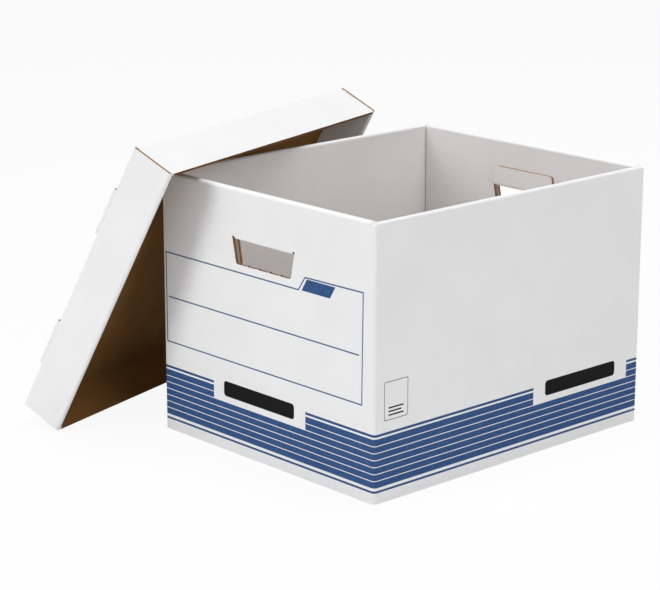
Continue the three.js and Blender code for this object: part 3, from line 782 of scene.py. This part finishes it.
box_cut_edges = []
for side in (-1, 1):
    box_cut_edges.append((
        Vector((-HOLE_EDGE_HALF, side * HOLE_EDGE_Y, HOLE_LOW_Z)) * MM,
        Vector((HOLE_EDGE_HALF, side * HOLE_EDGE_Y, HOLE_LOW_Z)) * MM,
        Vector((0.0, 1.0, 0.0)),
        Vector((0.0, 0.0, -1.0)),
    ))
    box_cut_edges.append((
        Vector((-BASE_EDGE_HALF, side * BASE_EDGE_Y, BASE_EDGE_Z)) * MM,
        Vector((BASE_EDGE_HALF, side * BASE_EDGE_Y, BASE_EDGE_Z)) * MM,
        Vector((0.0, 0.0, 1.0)),
        Vector((0.0, side, 0.0)),
    ))

body_sheet = folded_sheet("box_body", "folded_box", [printed_paper, kraft_paper, cut_board],
                          side_of_body, box_cut_edges)
box_flutes = flutes("box_flutes", box_cut_edges)
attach(box_flutes, "box")
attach(body_sheet, "box")
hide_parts("box_body")

# %% [markdown]
# On the lid, the panel and the long walls are one ply, so their inner faces are kraft. The short
# walls are rolled over at the rim, so they are white inside too. The lid leans, so its faces are
# sorted in its own directions: up its slope, along it, and out of its panel. The first step finds
# where the lid is, from the solid model.

# %% Lid: its place
LID_TILT, LID_TURN = math.radians(62.5), math.radians(16.3)
LID_HALF_X, LID_HALF_Y, LID_DEPTH = 173.7, 211.9, 52.0

across_floor = Vector((math.cos(LID_TURN), math.sin(LID_TURN), 0.0))
lid_along = Vector((-math.sin(LID_TURN), math.cos(LID_TURN), 0.0))
lid_slope = across_floor * math.cos(LID_TILT) + Vector((0.0, 0.0, math.sin(LID_TILT)))
lid_out = lid_slope.cross(lid_along)


def lid_place():
    # The middle of the panel's outer face, found from the mesh: the furthest reach each way.
    points = [v.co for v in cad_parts["lid"].data.vertices]
    up_slope = [p.dot(lid_slope) for p in points]
    along = [p.dot(lid_along) for p in points]
    rim = min(p.dot(lid_out) for p in points)
    middle = (max(up_slope) + min(up_slope)) / 2 * lid_slope
    middle += (max(along) + min(along)) / 2 * lid_along
    return middle + (rim + LID_DEPTH * MM) * lid_out


turn = Matrix((lid_slope, lid_along, lid_out)).transposed().to_4x4()
lid_matrix = Matrix.Translation(lid_place()) @ turn
to_lid = lid_matrix.inverted()
print("lid's middle at", tuple(round(v, 4) for v in lid_matrix.translation))

# %% [markdown]
# In its own directions the lid is simple: the panel lies flat, its walls hang down from it, and
# opposite walls are alike. So the same kind of test as on the box tells the paper of each face.

# %% Lid: which paper is on a face
def side_of_lid(centre, normal):
    local = to_lid @ (centre * MM) / MM
    facing = to_lid.to_3x3() @ normal
    x, y, z = abs(local.x), abs(local.y), local.z
    looks_down = facing.z < -STRAIGHT
    looks_in = abs(facing.x) > STRAIGHT and facing.x * local.x < 0
    looks_out = abs(facing.x) > STRAIGHT and facing.x * local.x > 0
    if looks_down and abs(z + BOARD_MM) < SLACK:
        return KRAFT
    if looks_in and abs(x - LID_HALF_X + BOARD_MM) < SLACK:
        return KRAFT
    if looks_down and abs(z + LID_DEPTH) < SLACK and x > LID_HALF_X - BOARD_MM - SLACK:
        return CUT if y < LID_HALF_Y - 2 * BOARD_MM + SLACK else WHITE
    if z > SLACK and y < LID_HALF_Y and abs(facing.y) < STRAIGHT:
        return CUT
    if looks_out and y > LID_HALF_Y - BOARD_MM + SLACK:
        return CUT
    return WHITE


print("the lid is", LID_DEPTH, "mm deep")

# %% [markdown]
# The long walls' rims are cut across the flutes, so they show waves. The short walls' outer ply
# ends flush with the long walls, so its raw edge shows at each of the four corners. A line parts
# each long wall's face there, in the small groove beside that edge.

# %% Lid: cut edges and pieces
RIM_END_MM, GROOVE_SIDE_MM = 0.5, 0.3

lid_cut_edges = []
for side in (-1, 1):
    rim_x = side * (LID_HALF_X - BOARD_MM / 2)
    rim_y = LID_HALF_Y - 2 * BOARD_MM - RIM_END_MM
    lid_cut_edges.append((
        lid_matrix @ (Vector((rim_x, -rim_y, -LID_DEPTH)) * MM),
        lid_matrix @ (Vector((rim_x, rim_y, -LID_DEPTH)) * MM),
        lid_slope,
        lid_out,
    ))

ply_end_y = LID_HALF_Y - BOARD_MM - GROOVE_SIDE_MM
corner_lines = []
for side_x in (-1, 1):
    for side_y in (-1, 1):
        corner_lines.append((
            lid_matrix @ (Vector((side_x * LID_HALF_X, side_y * ply_end_y, 0.0)) * MM),
            lid_along,
            side_x * lid_slope,
        ))

lid_sheet = folded_sheet("lid", "folded_lid", [plain_paper, kraft_paper, cut_board],
                         side_of_lid, lid_cut_edges, corner_lines)
lid_flutes = flutes("lid_flutes", lid_cut_edges)
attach(lid_flutes, "lid")
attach(lid_sheet, "lid")
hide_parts("lid")

# %% [markdown]
# The floor is a plain pale sweep. The camera sees it as white paper would look in a studio, and
# it keeps the soft shadows of the box and lid. Light Path tells what the eye sees, straight on or
# in a gloss or through glass, from what lights the object. So the floor can look white and yet
# throw no more light on the box than pale paper does.

# %% Floor
FLOOR_HALF_M = 40.0
FLOOR_DROP_MM = 0.5    # so far under the box that the two faces never meet
FLOOR_COLOUR, SEEN_WHITE = "#F2F2F2", 0.92


def seen_share(tree):
    path = add(tree, "ShaderNodeLightPath")
    seen_first = add(tree, "ShaderNodeMath",
                     {0: path.outputs["Is Camera Ray"], 1: path.outputs["Is Glossy Ray"]},
                     operation="MAXIMUM")
    seen_any = add(tree, "ShaderNodeMath",
                   {0: seen_first.outputs[0], 1: path.outputs["Is Transmission Ray"]},
                   operation="MAXIMUM")
    return seen_any.outputs[0]


def pale_surface(name, seen, colour):
    material = bpy.data.materials.new(name)
    material.use_nodes = True
    tree = material.node_tree
    shader = tree.nodes["Principled BSDF"]
    shader.inputs["Base Color"].default_value = paint(colour)
    shader.inputs["Roughness"].default_value = 0.9
    output = tree.nodes["Material Output"]
    share = add(tree, "ShaderNodeMath", {0: seen_share(tree), 1: seen}, operation="MULTIPLY")
    glow = add(tree, "ShaderNodeEmission", {"Color": (1.0, 1.0, 1.0, 1.0), "Strength": 1.0})
    mix = add(tree, "ShaderNodeMixShader", {0: share.outputs[0]})
    tree.links.new(shader.outputs[0], mix.inputs[1])
    tree.links.new(glow.outputs[0], mix.inputs[2])
    tree.links.new(mix.outputs[0], output.inputs["Surface"])
    return material


quarters = ((-1, -1), (1, -1), (1, 1), (-1, 1))
floor_corners = [(x * FLOOR_HALF_M, y * FLOOR_HALF_M, 0.0) for x, y in quarters]
floor_mesh = bpy.data.meshes.new("floor")
floor_mesh.from_pydata(floor_corners, [], [(0, 1, 2, 3)])
floor_mesh.materials.append(pale_surface("white studio floor", SEEN_WHITE, FLOOR_COLOUR))
floor = bpy.data.objects.new("floor", floor_mesh)
floor.location.z = -FLOOR_DROP_MM * MM
bpy.context.scene.collection.objects.link(floor)
print("the floor is", 2 * FLOOR_HALF_M, "m wide")

# %% [markdown]
# The light is plain and soft, as in a product photo: a pale room all round, one large lamp at the
# front left, a weaker one at the right and one above. The lid keeps the large lamp off the near
# part of the front wall, which gives the soft shadow beside it.

# %% Light
ROOM_LEVEL = 0.25
LAMP_AIM = Vector((0.0, 0.0, 0.15))
# Each lamp has a name, a place, the width of its square in metres, and its watts.
LAMPS = (
    ("large soft lamp", (-0.8, -3.2, 1.6), 1.4, 45),
    ("side lamp", (3.0, -0.5, 1.6), 1.8, 21),
    ("top lamp", (0.3, 0.3, 3.0), 1.6, 52),
)

world = bpy.data.worlds.new("pale room")
bpy.context.scene.world = world
world.use_nodes = True
tree = world.node_tree
background = tree.nodes["Background"]
strength = add(tree, "ShaderNodeMapRange",
               {"Value": seen_share(tree), "To Min": ROOM_LEVEL, "To Max": 1.0})
tree.links.new(strength.outputs[0], background.inputs["Strength"])
background.inputs["Color"].default_value = (1.0, 1.0, 1.0, 1.0)

for lamp_name, lamp_place, lamp_width, lamp_watts in LAMPS:
    lamp_data = bpy.data.lights.new(lamp_name, "AREA")
    lamp_data.shape = "SQUARE"
    lamp_data.size = lamp_width
    lamp_data.energy = lamp_watts
    lamp = bpy.data.objects.new(lamp_name, lamp_data)
    lamp.location = lamp_place
    lamp.rotation_euler = (Vector(lamp_place) - LAMP_AIM).to_track_quat("Z", "Y").to_euler()
    bpy.context.scene.collection.objects.link(lamp)
bpy.context.scene.view_settings.view_transform = "Standard"
print("lit by", len(LAMPS), "lamps and the room")
